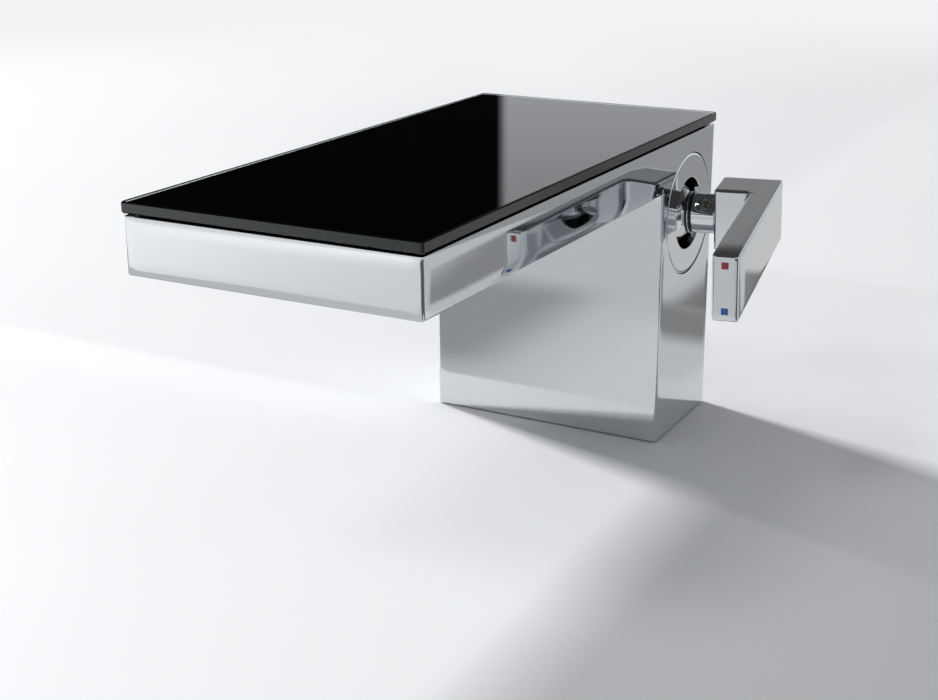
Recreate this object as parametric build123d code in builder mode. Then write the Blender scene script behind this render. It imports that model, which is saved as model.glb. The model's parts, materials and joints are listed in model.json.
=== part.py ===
from build123d import *
import os
from math import atan2, degrees, radians, sin, sqrt

# Deck-mounted waterfall bath mixer, all lengths in millimetres.
# Frame: +Z is up from the deck, the spout reaches towards -Y, the lever is on the +X side,
# and the origin is the middle of the column's foot, on the deck.

# Spout head
head_width = 110.0
head_length = 245.0
head_height = 19.6
wall = 2.5
edge_radius = 1.2
lip_radius = 0.8
cavity_radius = 1.0
rim_wall = 1.2
top_plate_thickness = 1.5

# Column and foot
top_height = 124.4
column_inset = 7.5
foot_gap = 0.8
gasket_thickness = 2.0
base_thickness = 12.0

# Glass plate
glass_thickness = 4.0
glass_overhang = 0.6
glass_gap = 0.9
glass_corner = 1.2
glass_chamfer = 0.5
bond_inset = 3.0

# Nozzles, in two staggered rows
nozzle_count = 17
nozzle_side_margin = 15.0
nozzle_setback = 19.0
nozzle_row_gap = 6.0
nozzle_radius = 1.5
nozzle_tip_radius = 1.1
nozzle_bore_radius = 0.5
nozzle_drop = 1.2
mat_border = 3.0
spray_plate_thickness = 1.5
spray_plate_land = 10.0
chamber_wall = 2.0
chamber_depth = 28.0
chamber_corner = 2.5
chamber_gasket_thickness = 0.8

# Waterways
feed_radius = 4.5
inlet_radius = 6.0
pipe_wall = 0.9
inlet_spacing = 20.0
inlet_offset = 6.0
hose_thread_radius = 4.5
hose_thread_depth = 9.0
hose_shoulder = 1.0
port_radius = 2.5
riser_radius = 3.4
inlet_port_front = 4.5
inlet_port_rise = 6.5
outlet_port_back = 7.5
seal_section = 1.2
seal_width = 1.8
socket_depth = 8.0
socket_wall = 2.2

# Valve block and what carries it
block_drop = 25.0
block_half_depth = 17.0
block_foot_depth = 34.0
block_corner = 3.0
seat_wall = 6.0
seat_flange_gap = 1.0
block_crown = 5.5
socket_root = 1.0
post_radius = 4.5
post_spigot = 5.0
post_set_back = 11.0
post_spacing = 57.0

# Fixings
stud_edge_distance = 8.55
stud_thread_radius = 3.4
foot_boss_radius = 5.4
cover_boss_radius = 3.5
boss_wall_bite = 0.6
rear_boss_height = 13.0
small_screw = {"shank": 1.5, "head": 2.75, "socket": 1.15}
foot_screw = {"shank": 2.0, "head": 3.8, "socket": 1.45}
post_screw = {"shank": 2.5, "head": 4.6, "socket": 1.75}
screw_bite = 8.0
drill_point = 1.0
boss_room = 2.0

# Cartridge
cartridge_radius = 17.5
cartridge_wall = 2.0
pivot_depth = 13.0
housing_set_back = 3.4
lip_thickness = 1.5
rotor_flange = 4.8
rotor_neck_radius = 10.0
rotor_neck_height = 5.0
carrier_thickness = 4.7
carrier_radius = 12.6
tongue_height = 1.4
tongue_width = 14.0
moving_disc_thickness = 3.0
mixing_pocket_depth = 1.8
mixing_pocket_wall = 1.8
mixing_pocket_edge = 3.2
fixed_disc_thickness = 3.5
cartridge_base_thickness = 5.5
face_seal_height = 0.75
ball_arm = 11.0
ball_radius = 2.5
ball_neck_radius = 1.7
disc_offset = 2.0
pin_radius = 1.5
lug_radius = 4.6
peg_radius = 1.5
peg_length = 2.5
peg_back = 5.5
peg_rise = 10.5

# Cartridge seat, nut and cover disc
nut_wall = 3.5
nut_length = 11.4
nut_lip = 1.0
nut_lip_land = 1.2
neck_wall = 2.0
skirt_wall = 1.2
skirt_length = 7.5
cover_lip = 0.6
cover_thickness = 2.5
cover_edge = 0.4
cover_groove = 0.35
cover_hole_radius = 14.8
cover_clearance = 1.3
disc_margin = 3.5
cartridge_back = 1.0
lever_drop = 33.0

# Lever
dome_radius = 15.0
dome_wall = 1.2
dome_half_angle = 76.0
spindle_radius = 4.0
spindle_length = 29.0
spindle_flat = 3.1
collar_radius = 8.4
collar_height = 2.3
stem_radius = 8.2
stem_edge = 0.4
block_clearance = 11.6
arm_clearance = 26.2
arm_thickness = 9.8
lever_height = 25.6
arm_length = 82.7
block_front = 8.6
block_back = 11.0
lever_edge = 0.9
lever_corner = 1.2
lever_end_corner = 1.6
lever_inner_corner = 3.5
spigot_radius = 6.5
spigot_length = 8.0
set_screw_radius = 2.45
set_screw_length = 4.3
set_screw_inset = 3.6
mark_size = 2.6
mark_depth = 0.6
mark_inset = 4.0

# Lever position in degrees: the turn is about X (down is cold), and the opening is about the
# turned Z axis
rest_turn = 5.5
rest_open = 8.0

# Clearances: a fit inside one body, a running fit, and the room left round a sliding piece
fit_gap = 0.03
running_gap = 0.05
slide_gap = 0.3
loose_gap = 0.2

# Cartridge seat, from the cartridge outwards to the column
bore_radius = cartridge_radius - cartridge_wall
thread_radius = cartridge_radius + nut_wall
neck_radius = thread_radius + neck_wall
skirt_inner_radius = neck_radius + loose_gap
skirt_radius = skirt_inner_radius + skirt_wall
cover_radius = skirt_radius + cover_lip

# Outline of column and head
column_depth = 2 * (cover_radius + disc_margin)
column_width = head_width - column_inset
side_x = column_width / 2
head_x = side_x - head_width / 2
rear_y = column_depth / 2
front_y = rear_y - head_length
head_y = rear_y - head_length / 2
head_bottom = top_height - head_height
head_floor = head_bottom + wall
ledge_z = top_height - top_plate_thickness
cavity_width = column_width - 2 * wall
cavity_depth = column_depth - 2 * wall

# Lever axis and pivot
axis_y = cartridge_back
axis_z = top_height - lever_drop
axis_point = (axis_y, axis_z)
pivot_x = side_x - pivot_depth
pivot = Vector(pivot_x, axis_y, axis_z)

# Cartridge stack, from the outer end inwards
housing_end_x = pivot_x - housing_set_back
lip_inner_x = housing_end_x - lip_thickness
flange_outer_x = lip_inner_x - slide_gap
flange_inner_x = flange_outer_x - rotor_flange
carrier_outer_x = flange_inner_x - slide_gap
carrier_inner_x = carrier_outer_x - carrier_thickness
moving_disc_inner_x = carrier_inner_x - moving_disc_thickness
fixed_disc_outer_x = moving_disc_inner_x - running_gap
fixed_disc_inner_x = fixed_disc_outer_x - fixed_disc_thickness
cartridge_inner_x = fixed_disc_inner_x - cartridge_base_thickness
seat_x = cartridge_inner_x - face_seal_height
skirt_inner_x = side_x - cover_thickness - skirt_length
neck_end_x = side_x - cover_thickness - cover_clearance
cover_seal_x = skirt_inner_x + (neck_end_x - skirt_inner_x - seal_width) / 2

# Ports under the cartridge: hot above and cold below at the front, the outlet behind. Two pegs
# keep the cartridge from turning.
hot_port = (axis_y - inlet_port_front, axis_z + inlet_port_rise)
cold_port = (axis_y - inlet_port_front, axis_z - inlet_port_rise)
outlet_port = (axis_y + outlet_port_back, axis_z)
port_points = [hot_port, cold_port, outlet_port]
peg_points = [(axis_y + peg_back, axis_z - peg_rise), (axis_y + peg_back, axis_z + peg_rise)]

# Foot, waterways and valve block
base_bottom = gasket_thickness
base_top = base_bottom + base_thickness
cold_inlet = (head_x - inlet_offset, cold_port[0])
hot_inlet = (cold_inlet[0] - inlet_spacing, hot_port[0])
inlet_points = [hot_inlet, cold_inlet]
inlet_socket_floor = base_bottom + hose_thread_depth + hose_shoulder
inlet_socket_top = inlet_socket_floor + socket_depth
block_bottom = axis_z - block_drop
block_left_x = hot_inlet[0] - inlet_radius - seal_section - socket_wall
block_front_y = axis_y - block_half_depth
feed_z = (head_floor + ledge_z) / 2
feed_point = (head_x, feed_z)
feed_socket_radius = feed_radius + socket_wall
block_socket_y = block_front_y - socket_depth
post_points = [(hot_inlet[0], axis_y + post_set_back), (hot_inlet[0] + post_spacing, axis_y)]
block_foot_end = post_points[1][0] + post_radius + socket_wall
stud_x = cavity_width / 2 - loose_gap - stud_edge_distance
stud_points = [(-stud_x, 0), (stud_x, 0)]

# Nozzle field, spray plate and chamber
row_length = head_width - 2 * nozzle_side_margin
nozzle_pitch = row_length / (nozzle_count - 1)
spray_y = front_y + nozzle_setback
mat_length = row_length + 2 * mat_border
mat_width = nozzle_row_gap + 4 * mat_border
mat_thickness = wall - spray_plate_thickness
spray_plate_length = row_length + 2 * spray_plate_land
spray_plate_width = mat_width + 2 * mat_border
spray_screw_x = (row_length + mat_border + spray_plate_land) / 2
spray_screw_y = (mat_width - mat_border) / 2
chamber_length = head_width - 2 * (wall + running_gap) - mat_border
chamber_bottom = head_floor + chamber_gasket_thickness
chamber_top = ledge_z - slide_gap
chamber_rear_y = spray_y + chamber_depth / 2
chamber_socket_y = chamber_rear_y + socket_depth

# A full row of nozzles in front, and behind it a row of one fewer, half a pitch over
nozzle_points = [
    (head_x + (place - (nozzle_count - 1 - row) / 2) * nozzle_pitch, spray_y + (row - 0.5) * nozzle_row_gap)
    for row in (0, 1)
    for place in range(nozzle_count - row)
]

# Screw places for the top cover, the foot and the spray plate
cover_boss_inset = wall + cover_boss_radius - boss_wall_bite
cover_boss_left = head_x - head_width / 2 + cover_boss_inset
cover_boss_right = side_x - cover_boss_inset
cover_boss_front = chamber_rear_y + cover_boss_radius + boss_room
cover_boss_rear = rear_y - cover_boss_inset
cover_boss_middle = (cover_boss_front + cover_boss_rear) / 2
head_boss_points = [
    (x, y) for x in (cover_boss_left, cover_boss_right) for y in (cover_boss_front, cover_boss_middle)
]
rear_boss_points = [(cover_boss_left, cover_boss_rear), (cover_boss_right, cover_boss_rear)]
cover_screw_points = head_boss_points + rear_boss_points
foot_boss_x = cavity_width / 2 - foot_boss_radius + boss_wall_bite
foot_boss_y = cavity_depth / 2 - foot_boss_radius + boss_wall_bite
foot_screw_points = [(x, y) for x in (-foot_boss_x, foot_boss_x) for y in (-foot_boss_y, foot_boss_y)]
spray_screw_points = [
    (head_x + x, spray_y + y)
    for x in (-spray_screw_x, spray_screw_x)
    for y in (-spray_screw_y, spray_screw_y)
]

# Planes of the moving pieces. In rotor_plane and lever_plane, x runs out of the body, y to the
# rear and z up; rotor_section and stem_section look along that x.
rotor_plane = Plane(pivot).rotated((rest_turn, 0, 0))
lever_plane = Plane(pivot).rotated((rest_turn, 0, rest_open))
rotor_section = Plane(origin=pivot, x_dir=rotor_plane.y_dir, z_dir=rotor_plane.x_dir)
stem_section = Plane(origin=pivot, x_dir=lever_plane.y_dir, z_dir=lever_plane.x_dir)
stem_axis = Axis(pivot, lever_plane.x_dir)


def level(height):
    """The horizontal plane at a height above the deck."""
    return Plane.XY.offset(height)


def level_down(height):
    """The horizontal plane at a height, looking down; its sketch y is the row's -Y."""
    return Plane(origin=(0, 0, height), x_dir=(1, 0, 0), z_dir=(0, 0, -1))


def turned_over(points):
    """Points of a level, as a plane that looks down sees them."""
    return [(x, -y) for x, y in points]


def across(distance):
    """The plane across the cartridge's axis at a distance along X; its sketch is (Y, Z)."""
    return Plane.YZ.offset(distance)


def facing_front(distance):
    """The upright plane at a distance along Y that looks forward; its sketch is (X, Z)."""
    return Plane(origin=(0, distance, 0), x_dir=(1, 0, 0), z_dir=(0, -1, 0))


def rounds(plane, points, radius):
    """Discs on a plane at some points."""
    with BuildSketch(plane) as outline:
        with Locations(*points):
            Circle(radius)
    return outline.sketch


def round_bars(plane, points, radius, length, mode=Mode.ADD):
    """Round bars that stand on a plane at some points, or holes with Mode.SUBTRACT."""
    extrude(rounds(plane, points, radius), amount=length, mode=mode)


def round_holes(plane, points, radius, depth):
    """Round holes that run from a plane along its normal."""
    round_bars(plane, points, radius, depth, mode=Mode.SUBTRACT)


def rounded_slab(plane, centre, length, width, corner, thickness, mode=Mode.ADD):
    """A slab with rounded corners that stands on a plane, or a pocket with Mode.SUBTRACT."""
    with BuildSketch(plane) as outline:
        with Locations(centre):
            RectangleRounded(length, width, corner)
    extrude(outline.sketch, amount=thickness, mode=mode)


def countersunk_holes(plane, points, screw, depth):
    """Clearance holes with countersinks that open at the plane."""
    countersink = rounds(plane, points, screw["head"] + running_gap)
    extrude(countersink, amount=screw["head"] - screw["shank"], taper=45, mode=Mode.SUBTRACT)
    round_holes(plane, points, screw["shank"] + running_gap, depth)


def countersunk_screws(plane, points, screw, length):
    """Hex-socket screws with their heads flush with the plane and shanks along its normal."""
    head_depth = screw["head"] - screw["shank"]
    with BuildPart() as screws:
        extrude(rounds(plane, points, screw["head"]), amount=head_depth, taper=45)
        round_bars(plane, points, screw["shank"], length)
        with BuildSketch(plane):
            with Locations(*points):
                RegularPolygon(screw["socket"], 6)
        extrude(amount=head_depth, mode=Mode.SUBTRACT)
    return screws


def add_rings(plane, points, inner, outer, thickness):
    """Flat-sided rings that stand on a plane at some points."""
    with BuildSketch(plane) as outline:
        with Locations(*points):
            Circle(outer)
            Circle(inner, mode=Mode.SUBTRACT)
    extrude(outline.sketch, amount=thickness)


def add_groove_seals(plane, points, shaft_radius):
    """Seals that fill the grooves round pipes which end at a plane's points."""
    add_rings(
        plane.offset(fit_gap),
        points,
        shaft_radius + fit_gap,
        shaft_radius + seal_section - fit_gap,
        seal_width - 2 * fit_gap,
    )


# Body shell: column and spout head in one hollow casting, open below and on top
with BuildPart() as body_shell:
    rounded_slab(level(head_bottom), (head_x, head_y), head_width, head_length, edge_radius, head_height)
    fillet(body_shell.edges().group_by(Axis.Z)[0], radius=lip_radius)
    rounded_slab(level(foot_gap), (0, 0), column_width, column_depth, edge_radius, head_floor - foot_gap)
    rounded_slab(
        level(foot_gap), (0, 0), cavity_width, cavity_depth, cavity_radius, ledge_z - foot_gap,
        mode=Mode.SUBTRACT,
    )
    rounded_slab(
        level(head_floor), (head_x, head_y), head_width - 2 * wall, head_length - 2 * wall,
        cavity_radius, ledge_z - head_floor, mode=Mode.SUBTRACT,
    )
    rounded_slab(
        level(ledge_z), (head_x, head_y), head_width - 2 * rim_wall, head_length - 2 * rim_wall,
        cavity_radius, top_plate_thickness, mode=Mode.SUBTRACT,
    )
    # Bosses for the top cover's screws and, in the column's corners, for the foot's screws
    round_bars(level(head_floor), head_boss_points, cover_boss_radius, ledge_z - head_floor)
    round_bars(level(ledge_z), rear_boss_points, cover_boss_radius, -rear_boss_height)
    round_bars(level(base_top), foot_screw_points, foot_boss_radius, base_thickness)
    round_holes(level(ledge_z), cover_screw_points, small_screw["shank"] + fit_gap, -screw_bite)
    round_holes(level(base_top), foot_screw_points, foot_screw["shank"] + fit_gap, screw_bite + drill_point)
    # Round opening for the cover disc
    round_holes(across(side_x), [axis_point], cover_radius + cover_groove, -wall - disc_margin / 2)
    # Shallow seat for the spray plate, and a window for the nozzle mat
    rounded_slab(
        level(head_bottom), (head_x, spray_y), spray_plate_length + 2 * loose_gap,
        spray_plate_width + 2 * loose_gap, cavity_radius, spray_plate_thickness, mode=Mode.SUBTRACT,
    )
    rounded_slab(
        level(head_bottom), (head_x, spray_y), mat_length + 2 * loose_gap,
        mat_width + 2 * loose_gap, cavity_radius, wall, mode=Mode.SUBTRACT,
    )
    round_holes(level(head_bottom), spray_screw_points, small_screw["shank"] + running_gap, wall)

# Top cover plate, let into the rim under the glass
with BuildPart() as top_cover_plate:
    plate_inset = rim_wall + running_gap
    rounded_slab(
        level(ledge_z), (head_x, head_y), head_width - 2 * plate_inset, head_length - 2 * plate_inset,
        cavity_radius, top_plate_thickness,
    )
    countersunk_holes(
        level_down(top_height), turned_over(cover_screw_points), small_screw, top_plate_thickness
    )

top_cover_screws = countersunk_screws(
    level_down(top_height), turned_over(cover_screw_points), small_screw, screw_bite
)

# Glass plate on its bonding pad
with BuildPart() as glass_bond:
    rounded_slab(
        level(top_height), (head_x, head_y), head_width - 2 * bond_inset, head_length - 2 * bond_inset,
        cavity_radius, glass_gap,
    )

with BuildPart() as glass_plate:
    rounded_slab(
        level(top_height + glass_gap), (head_x, head_y), head_width + 2 * glass_overhang,
        head_length + 2 * glass_overhang, glass_corner, glass_thickness,
    )
    chamfer(glass_plate.faces().sort_by(Axis.Z)[-1].edges(), length=glass_chamfer)
    chamfer(glass_plate.faces().sort_by(Axis.Z)[0].edges(), length=glass_chamfer)

# Spray chamber over the nozzles, with its pipe socket at the back
with BuildPart() as spray_chamber:
    chamber_height = chamber_top - chamber_bottom
    rounded_slab(
        level(chamber_bottom), (head_x, spray_y), chamber_length, chamber_depth, chamber_corner,
        chamber_height,
    )
    round_bars(
        facing_front(chamber_socket_y), [feed_point], feed_socket_radius, socket_depth + chamber_wall
    )
    rounded_slab(
        level(chamber_bottom), (head_x, spray_y), chamber_length - 2 * chamber_wall,
        chamber_depth - 2 * chamber_wall, chamber_corner - chamber_wall / 2,
        chamber_height - chamber_wall, mode=Mode.SUBTRACT,
    )
    round_bars(
        level(chamber_bottom), spray_screw_points, small_screw["head"], chamber_height - chamber_wall / 2
    )
    round_holes(level(chamber_bottom), spray_screw_points, small_screw["shank"] + fit_gap, screw_bite)
    round_holes(
        facing_front(chamber_socket_y), [feed_point], feed_radius + fit_gap, socket_depth + chamber_wall
    )
    chamber_groove_y = chamber_socket_y - (socket_depth - seal_width) / 2
    round_holes(facing_front(chamber_groove_y), [feed_point], feed_radius + seal_section, seal_width)

# Gasket between the chamber and the head's floor
with BuildPart() as spray_chamber_gasket:
    rounded_slab(
        level(head_floor), (head_x, spray_y), chamber_length, chamber_depth, chamber_corner,
        chamber_gasket_thickness,
    )
    rounded_slab(
        level(head_floor), (head_x, spray_y), mat_length - mat_border, mat_width - mat_border,
        chamber_corner, chamber_gasket_thickness, mode=Mode.SUBTRACT,
    )
    round_holes(
        level(head_floor), spray_screw_points, small_screw["shank"] + loose_gap, chamber_gasket_thickness
    )

# Spray plate, flush with the head's underside
with BuildPart() as spray_plate:
    rounded_slab(
        level(head_bottom), (head_x, spray_y), spray_plate_length, spray_plate_width, cavity_radius,
        spray_plate_thickness,
    )
    round_holes(level(head_bottom), nozzle_points, nozzle_radius + loose_gap, spray_plate_thickness)
    countersunk_holes(level(head_bottom), spray_screw_points, small_screw, spray_plate_thickness)

spray_plate_screws = countersunk_screws(
    level(head_bottom), spray_screw_points, small_screw,
    wall + chamber_gasket_thickness + screw_bite - drill_point,
)

# Soft nozzle mat: a sheet in the window, with a tapered nozzle through every hole of the plate
with BuildPart() as spray_nozzles:
    mat_bottom = head_bottom + spray_plate_thickness
    nozzle_length = spray_plate_thickness + nozzle_drop
    rounded_slab(
        level(mat_bottom), (head_x, spray_y), mat_length, mat_width, cavity_radius, mat_thickness
    )
    with BuildSketch(level_down(mat_bottom)):
        with Locations(*turned_over(nozzle_points)):
            Circle(nozzle_radius)
    extrude(
        amount=nozzle_length,
        taper=degrees(atan2(nozzle_radius - nozzle_tip_radius, nozzle_length)),
    )
    round_holes(
        level(mat_bottom - nozzle_length), nozzle_points, nozzle_bore_radius, nozzle_length + mat_thickness
    )

# Foot: base plate with hose threads, stud threads and a socket for each inlet pipe
with BuildPart() as base_plate:
    rounded_slab(
        level(base_bottom), (0, 0), cavity_width - 2 * loose_gap, cavity_depth - 2 * loose_gap,
        cavity_radius, base_thickness,
    )
    round_bars(
        level(base_top), inlet_points, inlet_radius + socket_wall, inlet_socket_top - base_top
    )
    round_holes(level(base_bottom), inlet_points, hose_thread_radius, hose_thread_depth)
    round_holes(level(base_bottom), inlet_points, hose_thread_radius - hose_shoulder, base_thickness)
    round_holes(level(inlet_socket_floor), inlet_points, inlet_radius + fit_gap, socket_depth)
    lower_groove_z = inlet_socket_floor + (socket_depth - seal_width) / 2
    round_holes(level(lower_groove_z), inlet_points, inlet_radius + seal_section, seal_width)
    round_holes(level(base_bottom), stud_points, stud_thread_radius, base_thickness)
    countersunk_holes(level(base_bottom), foot_screw_points, foot_screw, base_thickness)
    countersunk_holes(level(base_bottom), post_points, post_screw, base_thickness)

base_plate_screws = countersunk_screws(
    level(base_bottom), foot_screw_points, foot_screw, base_thickness + screw_bite
)
post_screws = countersunk_screws(
    level(base_bottom), post_points, post_screw, base_thickness + screw_bite
)

# Rubber gasket between the foot and the deck
with BuildPart() as base_gasket:
    rounded_slab(
        level(0), (0, 0), cavity_width - 2 * loose_gap, cavity_depth - 2 * loose_gap,
        cavity_radius, gasket_thickness,
    )
    round_holes(level(0), stud_points, stud_thread_radius + hose_shoulder, gasket_thickness)
    round_holes(level(0), inlet_points, hose_thread_radius + 2 * hose_shoulder, gasket_thickness)

# Two posts carry the valve block, each with a spigot in the block and a screw from below
with BuildPart() as block_posts:
    round_bars(level(base_top), post_points, post_radius, block_bottom - base_top)
    round_bars(level(block_bottom), post_points, post_screw["shank"], post_spigot)
    round_holes(
        level(base_top), post_points, post_screw["shank"] + fit_gap, screw_bite + drill_point
    )


def inlet_pipe(point):
    """A straight pipe from the foot's socket up into the valve block's socket."""
    bottom = inlet_socket_floor + slide_gap
    top = block_bottom + socket_depth - slide_gap
    with BuildPart() as pipe:
        add_rings(level(bottom), [point], inlet_radius - pipe_wall, inlet_radius, top - bottom)
    return pipe


hot_inlet_pipe = inlet_pipe(hot_inlet)
cold_inlet_pipe = inlet_pipe(cold_inlet)

# Valve block: cartridge seat, two risers from the inlets and one waterway up to the spout
with BuildPart() as valve_block:
    seat_start_x = seat_x - seat_wall
    round_bars(
        across(seat_start_x), [axis_point], skirt_radius - loose_gap,
        skirt_inner_x - seat_flange_gap - seat_start_x,
    )
    round_bars(across(seat_start_x), [axis_point], neck_radius, neck_end_x - seat_start_x)
    rounded_slab(
        level(block_bottom), ((block_left_x + seat_x) / 2, axis_y), seat_x - block_left_x,
        2 * block_half_depth, block_corner, feed_z + block_crown - block_bottom,
    )
    rounded_slab(
        level(block_bottom), ((block_left_x + block_foot_end) / 2, axis_y),
        block_foot_end - block_left_x, block_foot_depth, block_corner, block_drop,
    )
    round_bars(
        facing_front(block_front_y + socket_root), [feed_point], feed_socket_radius,
        socket_depth + socket_root,
    )
    # Cartridge seat, nut thread, peg holes and the groove for the cover disc's seal
    round_holes(across(seat_x), [axis_point], cartridge_radius + fit_gap, neck_end_x - seat_x)
    round_holes(across(housing_end_x), [axis_point], thread_radius, neck_end_x - housing_end_x)
    round_holes(across(seat_x), peg_points, peg_radius + fit_gap, -peg_length - loose_gap)
    with BuildSketch(across(cover_seal_x)):
        with Locations(axis_point):
            Circle(neck_radius + hose_shoulder)
            Circle(neck_radius - seal_section + loose_gap, mode=Mode.SUBTRACT)
    extrude(amount=seal_width, mode=Mode.SUBTRACT)
    # Two risers with their sockets, each met by the drilling from its own port
    round_holes(level(block_bottom), inlet_points, inlet_radius + fit_gap, socket_depth)
    upper_groove_z = block_bottom + (socket_depth - seal_width) / 2
    round_holes(level(upper_groove_z), inlet_points, inlet_radius + seal_section, seal_width)
    for (inlet_x, inlet_y), (port_y, port_z) in ((hot_inlet, hot_port), (cold_inlet, cold_port)):
        riser_height = port_z + port_radius + drill_point - block_bottom
        round_holes(level(block_bottom), [(inlet_x, inlet_y)], riser_radius, riser_height)
        round_holes(across(inlet_x), [(port_y, port_z)], port_radius, seat_x - inlet_x)
    # Waterway from the outlet port inwards, up and forward into the spout's pipe
    outlet_y, outlet_z = outlet_port
    round_holes(across(head_x), [outlet_port], port_radius, seat_x - head_x)
    waterway_end = port_radius + drill_point
    waterway_height = feed_z - outlet_z + 2 * waterway_end
    round_holes(level(outlet_z - waterway_end), [(head_x, outlet_y)], riser_radius, waterway_height)
    round_holes(facing_front(outlet_y), [feed_point], port_radius, outlet_y - block_socket_y)
    block_groove_y = block_socket_y + (socket_depth + seal_width) / 2
    round_holes(
        facing_front(block_socket_y + socket_depth), [feed_point], feed_radius + fit_gap, socket_depth
    )
    round_holes(facing_front(block_groove_y), [feed_point], feed_radius + seal_section, seal_width)
    round_holes(
        level(block_bottom), post_points, post_screw["shank"] + fit_gap, post_spigot + loose_gap
    )

# Pipe from the valve block forward to the spray chamber
with BuildPart() as feed_pipe:
    feed_start_y = block_socket_y + socket_depth - slide_gap
    add_rings(
        facing_front(feed_start_y), [feed_point], feed_radius - pipe_wall, feed_radius,
        feed_start_y - chamber_rear_y + chamber_wall,
    )

with BuildPart() as feed_pipe_seals:
    add_groove_seals(facing_front(block_groove_y), [feed_point], feed_radius)
    add_groove_seals(facing_front(chamber_groove_y), [feed_point], feed_radius)

with BuildPart() as inlet_pipe_seals:
    add_groove_seals(level(lower_groove_z), inlet_points, inlet_radius)
    add_groove_seals(level(upper_groove_z), inlet_points, inlet_radius)

# Cartridge housing: a cup that opens inwards, with a lip that keeps the rotor in
with BuildPart() as cartridge_housing:
    round_bars(
        across(cartridge_inner_x), [axis_point], cartridge_radius, housing_end_x - cartridge_inner_x
    )
    round_holes(across(cartridge_inner_x), [axis_point], bore_radius, lip_inner_x - cartridge_inner_x)
    round_holes(across(lip_inner_x), [axis_point], rotor_neck_radius + slide_gap, lip_thickness)

# Cartridge base with its three ports and two pegs
with BuildPart() as cartridge_base:
    round_bars(
        across(cartridge_inner_x), [axis_point], bore_radius - fit_gap, cartridge_base_thickness
    )
    round_bars(across(cartridge_inner_x), peg_points, peg_radius, -face_seal_height - peg_length)
    round_holes(across(cartridge_inner_x), port_points, port_radius, cartridge_base_thickness)

with BuildPart() as cartridge_seals:
    add_rings(
        across(seat_x), port_points, port_radius + loose_gap, port_radius + seal_section,
        face_seal_height,
    )

with BuildPart() as fixed_ceramic_disc:
    round_bars(across(fixed_disc_inner_x), [axis_point], bore_radius - seal_section, fixed_disc_thickness)
    round_holes(across(fixed_disc_inner_x), port_points, port_radius, fixed_disc_thickness)

# Moving ceramic disc in its carrier. Their centre is off the ball's centre, so that the disc
# stays inside the housing from shut to fully open. The pocket in the disc's face is a round one
# with a straight front edge, which uncovers the two inlets as the disc slides forward.
ball_centre = (-ball_arm * sin(radians(rest_open)), 0)
disc_centre = (ball_centre[0] + disc_offset, 0)

with BuildPart() as moving_ceramic_disc:
    disc_face = rotor_section.offset(moving_disc_inner_x - pivot_x)
    pocket_radius = carrier_radius - mixing_pocket_wall
    round_bars(disc_face, [disc_centre], carrier_radius, moving_disc_thickness)
    with BuildSketch(disc_face):
        with Locations(disc_centre):
            Circle(pocket_radius)
            with Locations((-mixing_pocket_edge - pocket_radius, 0)):
                Rectangle(2 * pocket_radius, 2 * pocket_radius, mode=Mode.SUBTRACT)
    extrude(amount=mixing_pocket_depth, mode=Mode.SUBTRACT)

with BuildPart() as disc_carrier:
    round_bars(
        rotor_section.offset(carrier_inner_x - pivot_x), [disc_centre], carrier_radius,
        carrier_thickness,
    )
    with BuildSketch(rotor_section.offset(carrier_outer_x - pivot_x)):
        with Locations(disc_centre):
            Rectangle(tongue_width, tongue_width)
    extrude(amount=tongue_height)
    ball_socket_depth = carrier_outer_x + tongue_height - (pivot_x - ball_arm - ball_radius - slide_gap)
    round_holes(
        rotor_section.offset(carrier_outer_x + tongue_height - pivot_x), [ball_centre],
        ball_radius + slide_gap, -ball_socket_depth,
    )

# Rotor: a flange under the housing's lip, a slotted neck for the spindle, and a guide groove
with BuildPart() as cartridge_rotor:
    round_bars(
        rotor_section.offset(flange_inner_x - pivot_x), [(0, 0)], bore_radius - running_gap, rotor_flange
    )
    round_bars(
        rotor_section.offset(flange_inner_x - pivot_x), [(0, 0)], rotor_neck_radius,
        pivot_x + rotor_neck_height - flange_inner_x,
    )
    slot_width = 2 * (spindle_radius + slide_gap)
    slot_reach = rotor_neck_radius - 2 * pin_radius
    with BuildSketch(rotor_section.offset(flange_inner_x - pivot_x)):
        Rectangle(2 * slot_reach, slot_width)
    extrude(amount=pivot_x + rotor_neck_height - flange_inner_x, mode=Mode.SUBTRACT)
    with BuildSketch(rotor_section.offset(flange_inner_x - pivot_x)):
        Rectangle(2 * bore_radius, tongue_width + 2 * slide_gap)
    extrude(amount=tongue_height + slide_gap - (flange_inner_x - carrier_outer_x), mode=Mode.SUBTRACT)
    round_holes(
        rotor_plane.offset(-rotor_neck_radius), [(0, 0)], pin_radius + fit_gap, 2 * rotor_neck_radius
    )

with BuildPart() as pivot_pin:
    pin_length = 2 * rotor_neck_radius - hose_shoulder
    round_bars(rotor_plane.offset(-pin_length / 2), [(0, 0)], pin_radius, pin_length)

# Ring nut that holds the cartridge, with four wrench notches
with BuildPart() as cartridge_nut:
    round_bars(across(housing_end_x), [axis_point], thread_radius - fit_gap, nut_length)
    round_holes(across(housing_end_x), [axis_point], cartridge_radius - nut_lip_land, nut_length)
    round_holes(
        across(housing_end_x + nut_lip), [axis_point], dome_radius + 2 * slide_gap, nut_length - nut_lip
    )
    with BuildSketch(across(housing_end_x + nut_length)):
        with Locations(axis_point):
            with PolarLocations(thread_radius, 4, start_angle=45):
                Rectangle(2 * nut_wall, nut_wall)
    extrude(amount=-nut_wall, mode=Mode.SUBTRACT)

# Cover disc, pushed over the block's neck until it is flush with the body's side
with BuildPart() as cover_disc:
    round_bars(across(side_x), [axis_point], cover_radius, -cover_thickness)
    round_holes(across(side_x), [axis_point], cover_hole_radius, -cover_thickness)
    chamfer(cover_disc.faces().sort_by(Axis.X)[-1].edges(), length=cover_edge)
    add_rings(across(skirt_inner_x), [axis_point], skirt_inner_radius, skirt_radius, skirt_length)

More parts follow.
